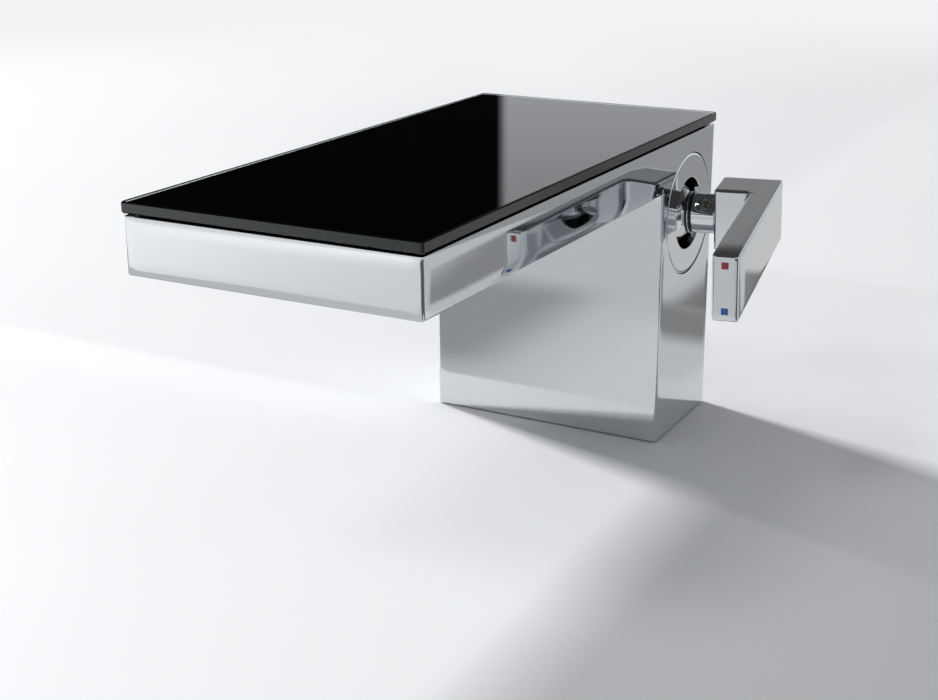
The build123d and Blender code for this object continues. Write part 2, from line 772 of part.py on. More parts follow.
with BuildPart() as cover_disc_seal:
    add_rings(
        across(cover_seal_x + fit_gap), [axis_point], neck_radius - seal_section + loose_gap + fit_gap,
        skirt_inner_radius - fit_gap, seal_width - 2 * fit_gap,
    )

# Spindle: ball end, lug on the pin, and a round shaft with a flat for the set screw
screw_direction = (lever_plane.z_dir - lever_plane.y_dir).normalized()
block_face = pivot_depth + block_clearance
screw_place = block_face - set_screw_inset
screw_plane = Plane(
    origin=pivot + lever_plane.x_dir * screw_place, x_dir=lever_plane.x_dir, z_dir=screw_direction
)
collar_base = sqrt(dome_radius**2 - collar_radius**2)
stem_start = collar_base + collar_height

with BuildPart() as spindle:
    with BuildSketch(lever_plane):
        with BuildLine():
            Line((-ball_arm - ball_radius, 0), (0, 0))
            Line((0, 0), (0, ball_neck_radius))
            ball_edge = -ball_arm + sqrt(ball_radius**2 - ball_neck_radius**2)
            Line((0, ball_neck_radius), (ball_edge, ball_neck_radius))
            ThreePointArc(
                (ball_edge, ball_neck_radius), (-ball_arm, ball_radius), (-ball_arm - ball_radius, 0)
            )
        make_face()
    revolve(axis=stem_axis)
    round_bars(stem_section, [(0, 0)], spindle_radius, spindle_length)
    lug_height = 2 * (spindle_radius - loose_gap)
    round_bars(lever_plane.offset(-lug_height / 2), [(0, 0)], lug_radius, lug_height)
    round_holes(
        lever_plane.offset(-spindle_radius), [(0, 0)], pin_radius + running_gap, 2 * spindle_radius
    )
    with BuildSketch(screw_plane.offset(spindle_flat)):
        with Locations(((spindle_length - screw_place) / 2 - set_screw_radius, 0)):
            Rectangle(
                spindle_length - screw_place + 4 * set_screw_radius, 2 * spindle_radius
            )
    extrude(amount=spindle_radius, mode=Mode.SUBTRACT)

# Dome: a spherical cap round the pivot, so that it keeps the opening covered as the lever tilts
with BuildPart() as dome_cap:
    inner_dome_radius = dome_radius - dome_wall
    dome_hole_radius = spindle_radius + loose_gap
    with BuildSketch(lever_plane):
        with BuildLine():
            outer_start = degrees(atan2(dome_hole_radius, sqrt(dome_radius**2 - dome_hole_radius**2)))
            inner_start = degrees(
                atan2(dome_hole_radius, sqrt(inner_dome_radius**2 - dome_hole_radius**2))
            )
            outer_arc = CenterArc((0, 0), dome_radius, outer_start, dome_half_angle - outer_start)
            inner_arc = CenterArc((0, 0), inner_dome_radius, inner_start, dome_half_angle - inner_start)
            Line(outer_arc @ 0, inner_arc @ 0)
            Line(outer_arc @ 1, inner_arc @ 1)
        make_face()
    revolve(axis=stem_axis)

# Collar ring between the dome and the stem, hollowed to sit on the dome, with one groove
with BuildPart() as collar_ring:
    seat_radius = dome_radius + fit_gap
    inner_base = sqrt(seat_radius**2 - dome_hole_radius**2)
    outer_base = sqrt(seat_radius**2 - collar_radius**2)
    groove_depth = collar_height / 4
    with BuildSketch(lever_plane):
        with BuildLine():
            RadiusArc((inner_base, dome_hole_radius), (outer_base, collar_radius), -seat_radius)
            Polyline(
                (outer_base, collar_radius),
                (stem_start - 3 * groove_depth / 2 - groove_depth / 4, collar_radius),
                (stem_start - 3 * groove_depth / 2, collar_radius - groove_depth),
                (stem_start - 3 * groove_depth / 2 + groove_depth / 4, collar_radius),
                (stem_start - fit_gap, collar_radius),
                (stem_start - fit_gap, dome_hole_radius),
                (inner_base, dome_hole_radius),
            )
        make_face()
    revolve(axis=stem_axis)

# Stem: a turned sleeve on the spindle, with a spigot for the lever and a pocket for the set screw
with BuildPart() as lever_stem:
    round_bars(stem_section.offset(stem_start), [(0, 0)], stem_radius, block_face - stem_start)
    chamfer(lever_stem.edges(), length=stem_edge)
    round_bars(stem_section.offset(block_face), [(0, 0)], spigot_radius, spigot_length)
    round_holes(
        stem_section.offset(stem_start), [(0, 0)], spindle_radius + fit_gap,
        spindle_length + slide_gap - stem_start,
    )
    round_holes(screw_plane, [(0, 0)], set_screw_radius + fit_gap, stem_radius + hose_shoulder)

with BuildPart() as set_screw:
    screw_foot = screw_plane.offset(spindle_flat + fit_gap)
    round_bars(screw_foot, [(0, 0)], set_screw_radius, set_screw_length)
    with BuildSketch(screw_foot.offset(set_screw_length)):
        RegularPolygon(foot_screw["socket"], 6)
    extrude(amount=-set_screw_length / 2, mode=Mode.SUBTRACT)

# Lever: a square block on the stem and a flat arm that runs forward, both in one casting
arm_face = pivot_depth + arm_clearance
lever_face = arm_face + arm_thickness
end_plane = Plane(origin=pivot, x_dir=lever_plane.x_dir, z_dir=-lever_plane.y_dir).offset(arm_length)
mark_place = (arm_face + lever_face) / 2
mark_rise = lever_height / 2 - mark_inset

# Corners of the 7 seen from above, each with its rounding
lever_corners = [
    ((block_face, -block_front), lever_corner),
    ((arm_face, -block_front), lever_inner_corner),
    ((arm_face, -arm_length), lever_end_corner),
    ((lever_face, -arm_length), lever_end_corner),
    ((lever_face, block_back), lever_corner),
    ((block_face, block_back), lever_corner),
]

with BuildPart() as lever_handle:
    with BuildSketch(lever_plane) as lever_outline:
        with BuildLine():
            Polyline(*[place for place, corner_radius in lever_corners], close=True)
        make_face()
        for place, corner_radius in lever_corners:
            fillet(lever_outline.vertices().sort_by_distance(place)[0], radius=corner_radius)
    extrude(amount=lever_height / 2, both=True)
    lever_rims = lever_handle.edges().group_by(Axis(pivot, lever_plane.z_dir))
    fillet(lever_rims[0] + lever_rims[-1], radius=lever_edge)
    round_holes(
        stem_section.offset(block_face), [(0, 0)], spigot_radius + fit_gap, spigot_length + loose_gap
    )
    with BuildSketch(end_plane):
        with Locations((mark_place, mark_rise), (mark_place, -mark_rise)):
            Rectangle(mark_size, mark_size)
    extrude(amount=-mark_depth, mode=Mode.SUBTRACT)


def colour_mark(rise):
    """A small square inlay in the end of the arm."""
    inlay_size = mark_size - 2 * fit_gap
    with BuildPart() as mark:
        with BuildSketch(end_plane):
            with Locations((mark_place, rise)):
                Rectangle(inlay_size, inlay_size)
        extrude(amount=-mark_depth)
    return mark


hot_mark = colour_mark(mark_rise)
cold_mark = colour_mark(-mark_rise)

pieces = {
    "body_shell": body_shell,
    "top_cover_plate": top_cover_plate,
    "top_cover_screws": top_cover_screws,
    "glass_bond": glass_bond,
    "glass_plate": glass_plate,
    "spray_chamber": spray_chamber,
    "spray_chamber_gasket": spray_chamber_gasket,
    "spray_plate": spray_plate,
    "spray_plate_screws": spray_plate_screws,
    "spray_nozzles": spray_nozzles,
    "feed_pipe": feed_pipe,
    "feed_pipe_seals": feed_pipe_seals,
    "base_plate": base_plate,
    "base_plate_screws": base_plate_screws,
    "base_gasket": base_gasket,
    "block_posts": block_posts,
    "post_screws": post_screws,
    "hot_inlet_pipe": hot_inlet_pipe,
    "cold_inlet_pipe": cold_inlet_pipe,
    "inlet_pipe_seals": inlet_pipe_seals,
    "valve_block": valve_block,
    "cartridge_housing": cartridge_housing,
    "cartridge_base": cartridge_base,
    "cartridge_seals": cartridge_seals,
    "fixed_ceramic_disc": fixed_ceramic_disc,
    "moving_ceramic_disc": moving_ceramic_disc,
    "disc_carrier": disc_carrier,
    "cartridge_rotor": cartridge_rotor,
    "pivot_pin": pivot_pin,
    "cartridge_nut": cartridge_nut,
    "cover_disc": cover_disc,
    "cover_disc_seal": cover_disc_seal,
    "spindle": spindle,
    "dome_cap": dome_cap,
    "collar_ring": collar_ring,
    "lever_stem": lever_stem,
    "set_screw": set_screw,
    "lever_handle": lever_handle,
    "hot_mark": hot_mark,
    "cold_mark": cold_mark,
}

os.makedirs("parts", exist_ok=True)
for name, piece in pieces.items():
    piece.part.label = name
    export_step(piece.part, f"parts/{name}.step")
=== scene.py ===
# %% [markdown]
# # A waterfall bath mixer in polished chrome and black glass
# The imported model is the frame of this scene. Its nodes already stand at their real places, in
# metres, with the origin in the middle of the column's foot. Each step below either gives such a
# node its finish, or makes a finer surface that takes its place.

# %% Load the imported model
import json

import bpy
import numpy as np
from mathutils import Matrix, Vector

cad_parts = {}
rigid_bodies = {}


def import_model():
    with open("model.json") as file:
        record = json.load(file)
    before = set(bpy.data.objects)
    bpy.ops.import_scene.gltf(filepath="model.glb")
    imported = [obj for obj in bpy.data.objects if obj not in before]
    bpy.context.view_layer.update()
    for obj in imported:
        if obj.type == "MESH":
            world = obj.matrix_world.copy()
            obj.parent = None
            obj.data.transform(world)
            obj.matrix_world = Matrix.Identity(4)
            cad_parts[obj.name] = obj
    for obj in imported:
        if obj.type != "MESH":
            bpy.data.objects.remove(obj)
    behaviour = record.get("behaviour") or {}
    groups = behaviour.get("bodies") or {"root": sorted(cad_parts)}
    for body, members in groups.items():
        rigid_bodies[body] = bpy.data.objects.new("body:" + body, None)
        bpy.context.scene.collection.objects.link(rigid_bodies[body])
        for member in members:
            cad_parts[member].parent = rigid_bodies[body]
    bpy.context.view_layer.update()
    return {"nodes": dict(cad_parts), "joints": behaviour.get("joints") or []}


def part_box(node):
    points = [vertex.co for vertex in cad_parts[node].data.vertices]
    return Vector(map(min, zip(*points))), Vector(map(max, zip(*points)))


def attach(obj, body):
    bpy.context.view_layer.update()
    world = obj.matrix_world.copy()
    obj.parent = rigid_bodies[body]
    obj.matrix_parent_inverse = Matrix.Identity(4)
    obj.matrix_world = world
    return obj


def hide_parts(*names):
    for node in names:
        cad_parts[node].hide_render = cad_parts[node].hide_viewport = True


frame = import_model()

nodes = frame["nodes"]
scene = bpy.context.scene
scene.view_settings.view_transform = "Standard"
print("nodes in the frame:", len(nodes))

# %% [markdown]
# ## Units, colours and nodes
# A texture's scale in Blender is the number of features per metre, so a size in millimetres is
# turned into a scale once, here. Colours are written as the hex values that a designer reads off
# a swatch. Shaders want linear light, so one function does that conversion for every colour. Most
# values of a noise texture lie between 0.3 and 0.7, so a range is stretched over those.

# %% Small helpers that every finish uses
MM = 0.001
noise_low = 0.3
noise_high = 0.7


def features_of(size_mm):
    """Texture scale at which one feature is about size_mm wide: a thousand over that size."""
    return 1000.0 / size_mm


def colour(code):
    """Linear RGBA of an sRGB hex code: c / 12.92 when dark, ((c + 0.055) / 1.055) ** 2.4 above."""
    channels = np.array([int(code[place:place + 2], 16) for place in (1, 3, 5)]) / 255
    linear = np.where(channels <= 0.04045, channels / 12.92, ((channels + 0.055) / 1.055) ** 2.4)
    return (*linear.tolist(), 1.0)


def add_node(tree, kind, inputs=None, **settings):
    """Adds a shader node, sets its properties, then links or fills each named or numbered input."""
    node = tree.nodes.new(kind)
    for name, value in settings.items():
        setattr(node, name, value)
    for name, value in (inputs or {}).items():
        socket = node.inputs[name]
        if isinstance(value, bpy.types.NodeSocket):
            tree.links.new(value, socket)
        else:
            socket.default_value = value
    return node


def new_material(name):
    """An empty node material and its tree."""
    material = bpy.data.materials.new(name)
    material.use_nodes = True
    material.node_tree.nodes.clear()
    return material, material.node_tree


def ramp(value, start, width):
    """0 up to start and 1 from start + width on; between them 3 t^2 - 2 t^3 of the share t."""
    share = np.clip((value - start) / width, 0.0, 1.0)
    return share * share * (3 - 2 * share)


def soft_window(value, low, high, soft):
    """1 between low and high, 0 outside, with a ramp of the given width at each end."""
    return ramp(value, low, soft) * ramp(-value, -high, soft)


print("one feature of 5 mm is a scale of", features_of(5))

# %% [markdown]
# ## Places on the body
# Two faces of the column and the underside of the head are needed by several steps: a card
# follows the column's shadow, and the chrome is worn along its edges.

# %% Places on the body
column_left = -51.25 * MM
column_front = -28.5 * MM
head_bottom = 104.8 * MM
straight_up = np.array([0.0, 0.0, 1.0])
print("column front at y", round(column_front / MM, 1), "mm")

# %% [markdown]
# ## Meshes worked out with numpy
# Every new surface is a grid of points: one index runs along a profile, the other round or across
# the piece. Quads join each point to its neighbours. Where a direction closes on itself, the last
# row or column is joined to the first, so no seam stays open.

# %% Turn a grid of points into an object
def grid_faces(rows, columns, close_rows=False, close_columns=True):
    """Quads of a grid, with either direction joined end to end, wound the same way throughout."""
    row_count = rows if close_rows else rows - 1
    column_count = columns if close_columns else columns - 1
    row, column = np.meshgrid(np.arange(row_count), np.arange(column_count), indexing="ij")
    above = (row + 1) % rows
    beside = (column + 1) % columns
    corners = [
        row * columns + column, row * columns + beside,
        above * columns + beside, above * columns + column,
    ]
    return np.stack(corners, axis=-1).reshape(-1, 4).tolist()


def new_object(name, points, faces, materials, smooth_degrees=30.0):
    """An object at the origin with these points and faces; edges sharper than the angle stay sharp."""
    mesh = bpy.data.meshes.new(name)
    mesh.from_pydata(np.reshape(points, (-1, 3)).tolist(), [], faces)
    for material in materials:
        mesh.materials.append(material)
    mesh.polygons.foreach_set("use_smooth", [True] * len(mesh.polygons))
    mesh.update()
    mesh.set_sharp_from_angle(angle=np.radians(smooth_degrees))
    made = bpy.data.objects.new(name, mesh)
    scene.collection.objects.link(made)
    return made


def placement(right, up, back, place):
    """Matrix of an object at place whose own X, Y and Z axes point right, up and back."""
    axes = np.column_stack([right, up, back, place])
    return Matrix(np.vstack([axes, [0.0, 0.0, 0.0, 1.0]]).tolist())


# %% [markdown]
# ## The camera
# The mixer was photographed from the front right, a little above the glass. The camera stands
# where the edges of column, head and lever line up with the picture. A photographer keeps the
# upright edges upright with a small lens shift, so a little of it is used here as well: the lens
# points at a row of pixels 50 above the picture's middle.

# %% Place the camera
picture_width = 938
middle_row = 350
lens_row = 300
focal_pixels = 1516.7
azimuth, elevation, roll = np.radians([28.50, 16.71, -0.22])
eye = np.array([0.2618, -0.5766, 0.2370])

back = np.array([
    np.sin(azimuth) * np.cos(elevation), -np.cos(azimuth) * np.cos(elevation), np.sin(elevation),
])
level_right = np.cross(-back, straight_up)
level_right /= np.linalg.norm(level_right)
level_up = np.cross(level_right, -back)
right = level_right * np.cos(roll) + level_up * np.sin(roll)
up = level_up * np.cos(roll) - level_right * np.sin(roll)

lens = bpy.data.cameras.new("studio_camera")
lens.sensor_width = 36.0
lens.lens = focal_pixels / picture_width * lens.sensor_width
lens.shift_y = (lens_row - middle_row) / picture_width
lens.clip_start = 0.01
camera = bpy.data.objects.new("studio_camera", lens)
scene.collection.objects.link(camera)
camera.matrix_world = placement(right, up, back, eye)
scene.camera = camera
print("lens", round(lens.lens, 1), "mm, shift", round(lens.shift_y, 3))

# %% [markdown]
# ## A pale floor
# A wide sheet of white acrylic carries the mixer and its shadow. Far behind the mixer the real
# sheet would get darker, away from the lamps. There a plain white glow takes over, which only the
# camera and mirrors see, so the background stays pale and no extra light falls on the mixer.

# %% Floor
floor_reach = 12.0
shadow_reach = 0.7
glow_start = 1.7


def seen_share(tree):
    """1 for a ray from the camera, from a mirror or through glass, 0 for one that only lights."""
    rays = add_node(tree, "ShaderNodeLightPath")
    direct = add_node(tree, "ShaderNodeMath", {
        0: rays.outputs["Is Camera Ray"], 1: rays.outputs["Is Glossy Ray"],
    }, operation="MAXIMUM")
    seen = add_node(tree, "ShaderNodeMath", {
        0: direct.outputs["Value"], 1: rays.outputs["Is Transmission Ray"],
    }, operation="MAXIMUM")
    return seen.outputs["Value"]


def floor_finish():
    """Matt white acrylic, cast: almost no texture, only a faint unevenness in tone."""
    material, tree = new_material("matt white acrylic, cast")
    place = add_node(tree, "ShaderNodeTexCoord")
    patches = add_node(tree, "ShaderNodeTexNoise", {
        "Vector": place.outputs["Object"], "Scale": features_of(400),
    })
    tone = add_node(tree, "ShaderNodeMix", {
        "Factor": patches.outputs["Fac"], 6: colour("#e4e5e7"), 7: colour("#edeeef"),
    }, data_type="RGBA")
    sheet = add_node(tree, "ShaderNodeBsdfPrincipled", {
        "Base Color": tone.outputs[2], "Roughness": 0.55,
    })
    distance = add_node(tree, "ShaderNodeVectorMath", {
        0: place.outputs["Object"],
    }, operation="LENGTH")
    far = add_node(tree, "ShaderNodeMapRange", {
        "Value": distance.outputs["Value"], "From Min": shadow_reach, "From Max": glow_start,
    }, interpolation_type="SMOOTHSTEP")
    share = add_node(tree, "ShaderNodeMath", {
        0: far.outputs["Result"], 1: seen_share(tree),
    }, operation="MULTIPLY")
    glow = add_node(tree, "ShaderNodeEmission", {"Color": colour("#f1f2f3"), "Strength": 1.0})
    both = add_node(tree, "ShaderNodeMixShader", {
        "Fac": share.outputs["Value"], 1: sheet.outputs["BSDF"], 2: glow.outputs["Emission"],
    })
    add_node(tree, "ShaderNodeOutputMaterial", {"Surface": both.outputs["Shader"]})
    return material


floor_corners = floor_reach * np.array([[-1, -1, 0], [1, -1, 0], [1, 1, 0], [-1, 1, 0]])
floor = new_object("floor", floor_corners, [(0, 1, 2, 3)], [floor_finish()])
print("floor:", 2 * floor_reach, "m wide")

# %% [markdown]
# ## Cards that only mirrors see
# What chrome mirrors decides how it looks: white where a face has to shine, grey or black where it
# has to turn dark. Here that is painted reflection. The cards are glowing sheets, not lamps, and each
# is a grid with two attributes, how bright the glow is and how much of it is there, both worked
# out with numpy. Camera rays, soft light and shadows pass through them, so they work on the
# reflections alone.

# %% The glow of the painted reflections
def painted_reflection_finish():
    """Painted reflection: a glow whose brightness and cover are read from the mesh, glowing where it is,
    else clear.
    """
    material, tree = new_material("painted reflection, glowing card")
    shine = add_node(tree, "ShaderNodeAttribute", attribute_name="brightness")
    cover = add_node(tree, "ShaderNodeAttribute", attribute_name="cover")
    # The emission is the painted reflection; only mirrors see it.
    painted_glow = add_node(tree, "ShaderNodeEmission", {
        "Color": colour("#fdfeff"), "Strength": shine.outputs["Fac"],
    })
    clear = add_node(tree, "ShaderNodeBsdfTransparent")
    both = add_node(tree, "ShaderNodeMixShader", {
        "Fac": cover.outputs["Fac"], 1: clear.outputs["BSDF"], 2: painted_glow.outputs["Emission"],
    })
    add_node(tree, "ShaderNodeOutputMaterial", {"Surface": both.outputs["Shader"]})
    return material


def mirror_card(name, points, brightness, cover):
    """A grid of points, each with a brightness and a cover, which glossy rays alone can see."""
    rows, columns = cover.shape
    card = new_object(name, points, grid_faces(rows, columns, close_columns=False), [painted_reflection_glow])
    for label, values in (("brightness", brightness), ("cover", cover)):
        field = card.data.attributes.new(label, "FLOAT", "POINT")
        field.data.foreach_set("value", np.broadcast_to(values, cover.shape).ravel().astype(np.float32))
    card.visible_camera = False
    card.visible_diffuse = False
    card.visible_shadow = False
    print(name, "has", rows, "by", columns, "points")
    return card


def level_grid(x_values, y_values, height):
    """The x and the y of a level grid, and its points (x, y, height)."""
    x, y = np.meshgrid(x_values, y_values, indexing="ij")
    return x, y, np.stack([x, y, np.full_like(x, height)], axis=-1)


painted_reflection_glow = painted_reflection_finish()

# %% [markdown]
# A glowing sheet above the lamps, seen only in mirrors, paints a dark surround overhead. It is
# nearly black over the mixer and in front of it, and gets paler behind. This painted dark
# reflection darkens the top of the lever, the stem and the dome, which all look up.

# %% Painted reflection above the lamps
painted_sky_height = 2.2
painted_sky_reach = 8.8
painted_sky_edge = 7.2
painted_sky_fade = 1.4
painted_sky_dark = 0.05
painted_sky_pale = 0.26
pale_from = 2.4
pale_over = 2.2
ring, turn = np.meshgrid(
    np.linspace(0.0, painted_sky_reach, 45), np.linspace(0.0, 2 * np.pi, 65), indexing="ij",
)
painted_sky = np.stack([ring * np.cos(turn), ring * np.sin(turn), np.full_like(ring, painted_sky_height)], axis=-1)
painted_sky_brightness = painted_sky_dark + (painted_sky_pale - painted_sky_dark) * ramp(painted_sky[..., 1], pale_from, pale_over)
mirror_card("painted_reflection_above", painted_sky, painted_sky_brightness, 1 - ramp(ring, painted_sky_edge, painted_sky_fade))

# %% [markdown]
# The black glass shows what stands low behind it: something dark in most of the plate and
# something pale in its rear part, with a soft upright border between them. A tall black card on
# the left, a painted reflection that glows almost not at all, gives the dark part. Its border lies
# in a plane through the camera.

# %% Black card behind the glass
black_distance = 2.2
black_width = 2.6
black_height = 1.3
black_tone = 0.003
card_foot = 0.02
border_angle = np.radians(26.95)
border_fade = 0.018
border = np.array([-np.sin(border_angle), np.cos(border_angle), 0.0])
along_card = np.array([np.cos(border_angle), np.sin(border_angle), 0.0])
from_border = np.concatenate([np.linspace(0.0, border_fade, 5), np.linspace(0.1, black_width, 12)])
reach, rise = np.meshgrid(from_border, np.linspace(card_foot, black_height, 12), indexing="ij")
foot_point = np.array([eye[0], eye[1], 0.0]) + black_distance * border
black = foot_point - reach[..., None] * along_card + rise[..., None] * straight_up
mirror_card("painted_reflection_black", black, black_tone, ramp(reach, 0.0, border_fade))

# %% [markdown]
# It is dark behind the camera too. The round stem and the dome look there along a thin strip, so
# a low curved wall, a painted reflection that glows nearly black, stands behind the camera.

# %% Dark wall behind the camera
wall_distance = 3.2
wall_height = 0.95
wall_tone = 0.05
around, wall_rise = np.meshgrid(
    np.radians(np.linspace(-165.0, -75.0, 61)), np.linspace(card_foot, wall_height, 9), indexing="ij",
)
wall = np.stack([wall_distance * np.cos(around), wall_distance * np.sin(around), wall_rise], axis=-1)
mirror_card("painted_reflection_behind", wall, wall_tone, np.ones_like(around))

# %% [markdown]
# A white card lies in front on the floor: a painted reflection that glows brighter than lit white
# paper would, and makes the front of the head shine. The head's lower edge looks past its near
# side, onto a grey card, which paints the darker strip along the bottom. The strip gets thicker
# towards the right, so the white card steps back a little there.

# %% White card in front
card_lift = 0.002
white_depth = 0.75
near_side = -0.428
across, depth = np.meshgrid(np.linspace(-0.95, 0.25, 97), np.linspace(0.0, 1.0, 33), indexing="ij")
near_edge = near_side - 0.02 * ramp(across, -0.28, 0.1) + 0.15 * ramp(-across, 0.42, 0.12)
from_near_edge = white_depth * depth ** 2
white = np.stack([across, near_edge - from_near_edge, np.full_like(across, card_lift)], axis=-1)
# Painted reflection: the glow is 1.17 on the left and falls to 0.81 on the right.
white_brightness = 1.17 - 0.36 * ramp(across, -0.42, 0.30)
white_cover = (
    ramp(across, -0.95, 0.2) * (1 - ramp(across, -0.13, 0.16))
    * ramp(from_near_edge, 0.0, 0.006) * (1 - ramp(depth, 0.8, 0.2))
)
mirror_card("painted_reflection_white", white, white_brightness, white_cover)

# %% [markdown]
# The grey card fills the place between the white card and the column, whose front shows it. On
# its left it carries a painted shadow, the head's own shadow as the column's front would mirror it,
# so it is darkest there. Close to the column it is painted bright, as the reflection of lit floor,
# and it ends where the column's own shadow starts. The points lie closer together there.

# %% Grey card before the column
shadow_slope = -0.298
card_x, card_y, grey = level_grid(
    np.concatenate([np.linspace(-0.75, -0.12, 64), np.linspace(-0.115, 0.22, 135)]),
    np.concatenate([np.linspace(-0.55, -0.08, 95), np.linspace(-0.078, -0.03, 49)]),
    card_lift / 2,
)
# Painted reflection: a little lighter on the right, a painted shadow on the left, and a painted band of
# lit floor next to the column.
right_lift = 0.10 * ramp(card_x, -0.06, 0.07) * ramp(card_y, -0.22, 0.06)
left_painted_shadow = 0.27 * (1 - ramp(card_x, -0.085, 0.05)) * soft_window(card_y, -0.24, -0.05, 0.05)
plain_grey = 0.63 + right_lift - left_painted_shadow
painted_lit_floor = 0.90 - 0.13 * ramp(card_x, -0.08, 0.12)
lit_share = ramp(card_y, -0.066, 0.004)
grey_brightness = plain_grey + lit_share * (painted_lit_floor - plain_grey)
shadow_line = column_front + shadow_slope * (card_x - column_left)
grey_cover = (
    soft_window(card_x, -0.75, 0.22, 0.08) * soft_window(card_y, -0.55, -0.03, 0.008)
    * ramp(shadow_line - card_y, 0.0, 0.005)
)
mirror_card("painted_reflection_grey", grey, grey_brightness, grey_cover)

# %% [markdown]
# A grey glow with darker fields lies on the floor to the right: painted reflections, which only
# mirrors see. The side of the column looks down on the near and the far dark field, the lever's
# outer side on a patch beside them, and the front half of the head's side on a wedge that opens
# towards the back.

# %% Painted reflections on the right
right_glow_tone = 0.62
right_glow_x, right_glow_y, right_glow = level_grid(
    np.linspace(-0.06, 0.95, 102), np.linspace(0.02, 1.05, 207), card_lift,
)
near_dark_end = 0.17 + 0.10 * ramp(right_glow_x, 0.13, 0.06)
near_dark_reflection = soft_window(right_glow_y, 0.085, near_dark_end, 0.03) * soft_window(right_glow_x, 0.06, 0.19, 0.02)
far_dark_reflection = soft_window(right_glow_y, 0.34, 1.00, 0.05) * ramp(right_glow_x, 0.12, 0.03)
lever_dark_reflection = soft_window(right_glow_y, 0.14, 0.265, 0.02) * (1 - ramp(right_glow_x, 0.105, 0.02))
head_dark_end = 0.275 + 0.19 * (right_glow_y - 0.158)
head_dark_reflection = soft_window(right_glow_y, 0.06, 0.38, 0.05) * soft_window(right_glow_x, 0.20, head_dark_end, 0.03)
# Painted reflection: each dark field lowers the glow, which darkens the chrome that mirrors it.
right_glow_brightness = (
    right_glow_tone - 0.36 * near_dark_reflection - 0.42 * lever_dark_reflection * (1 - near_dark_reflection)
    - 0.33 * head_dark_reflection * (1 - far_dark_reflection) - 0.27 * far_dark_reflection
)
left_end = 0.055 - 0.115 * ramp(right_glow_y, 0.06, 0.04)
right_glow_cover = soft_window(right_glow_x, left_end, 0.95, 0.02) * soft_window(right_glow_y, 0.02, 1.05, 0.03)
mirror_card("painted_reflection_right", right_glow, right_glow_brightness, right_glow_cover)

# %% [markdown]
# The upright edges between front and side look at the floor in front on the right. A dark
# glowing sheet there, a painted reflection, draws a thin dark line down each of them, which parts
# the two bright faces. A round hole in the sheet keeps the mirror image of the lever's end bright
# in the side of the head.

# %% Painted dark reflection in front on the right
front_dark_tone = 0.12
front_dark_x, front_dark_y, front_dark = level_grid(np.linspace(0.19, 0.99, 81), np.linspace(-1.0, -0.02, 99), 2 * card_lift)
from_hole = np.hypot(front_dark_x - 0.24, front_dark_y + 0.23)
front_dark_cover = (
    soft_window(front_dark_x, 0.19, 0.99, 0.03) * soft_window(front_dark_y, -1.0, -0.02, 0.03)
    * ramp(from_hole, 0.06, 0.03)
)
mirror_card("painted_reflection_front", front_dark, front_dark_tone, front_dark_cover)

# %% [markdown]
# ## World and lamps
# The world is a plain pale grey, a little paler to the camera and to mirrors than to what it
# lights. One softbox on the left is the main light, so the shadow falls to the right. A weak one
# lifts the front. The chrome doesn't show it, so no second bright spot appears on the dome and
# the stem.

# %% Surroundings
world = bpy.data.worlds.new("pale_studio")
scene.world = world
world.use_nodes = True
sky = world.node_tree
sky.nodes.clear()
soft_light = add_node(sky, "ShaderNodeBackground", {"Color": colour("#e1e3e6"), "Strength": 0.50})
pale_wall = add_node(sky, "ShaderNodeBackground", {"Color": colour("#dfe2e6"), "Strength": 0.92})
surround = add_node(sky, "ShaderNodeMixShader", {
    "Fac": seen_share(sky), 1: soft_light.outputs["Background"], 2: pale_wall.outputs["Background"],
})
add_node(sky, "ShaderNodeOutputWorld", {"Surface": surround.outputs["Shader"]})
print("world:", world.name)


# %% Lamps
def soft_lamp(name, place, aim, size, watts):
    """A square softbox that stands at place and looks at aim."""
    lamp = bpy.data.lights.new(name, "AREA")
    lamp.shape = "SQUARE"
    lamp.size = size
    lamp.energy = watts
    box = bpy.data.objects.new(name, lamp)
    scene.collection.objects.link(box)
    away = np.array(place) - np.array(aim)
    away /= np.linalg.norm(away)
    side = np.cross(straight_up, away)
    side /= np.linalg.norm(side)
    box.matrix_world = placement(side, np.cross(away, side), away, place)
    return box


mixer_middle = (0.0, -0.08, 0.08)
soft_lamp("key_left", (-3.3, 1.0, 2.58), mixer_middle, 0.54, 165.0)
fill = soft_lamp("fill_front", (-0.65, -0.9, 1.3), mixer_middle, 0.5, 5.0)
fill.visible_glossy = False
print("lamps:", [lamp.name for lamp in bpy.data.lights])

# %% [markdown]
# ## Chrome
# The body, disc, dome, stem and lever are brass that was buffed and then plated with nickel and
# chrome. To the eye it is a slightly bluish mirror. Two things keep it from looking like a perfect
# one: a faint haze that varies over a few centimetres, and the slow waves that buffing leaves.
# The buffing wheel also rolls over the edges of a face and makes it slightly crowned there, which
# bends the mirror image. So the chrome of the body and the lever has a second bump, which falls
# off near their edges.

# %% Chrome plate
def crowned(tree, place, normal, edges, origin, axes):
    """Bump that falls by depth * ((reach - distance) / reach)^2 towards each edge of a face."""
    from_origin = add_node(tree, "ShaderNodeVectorMath", {0: place, 1: origin}, operation="SUBTRACT")
    along = {
        letter: add_node(tree, "ShaderNodeVectorMath", {
            0: from_origin.outputs["Vector"], 1: axis,
        }, operation="DOT_PRODUCT").outputs["Value"]
        for letter, axis in zip("XYZ", axes)
    }
    fall = 0.0
    for axis, edge, inward, reach, depth, mask_axis, mask_start, mask_end in edges:
        nearness = add_node(tree, "ShaderNodeMapRange", {
            "Value": along[axis], "From Min": edge + inward * reach, "From Max": edge,
        })
        drop = add_node(tree, "ShaderNodeMath", {
            0: nearness.outputs["Result"], 1: 2.0,
        }, operation="POWER")
        mask = add_node(tree, "ShaderNodeMapRange", {
            "Value": along[mask_axis], "From Min": mask_start, "From Max": mask_end, "To Max": depth,
        })
        fall = add_node(tree, "ShaderNodeMath", {
            0: drop.outputs["Value"], 1: mask.outputs["Result"], 2: fall,
        }, operation="MULTIPLY_ADD").outputs["Value"]
    crown = add_node(tree, "ShaderNodeBump", {
        "Height": fall, "Distance": 1.0, "Normal": normal,
    }, invert=True)
    return crown.outputs["Normal"]


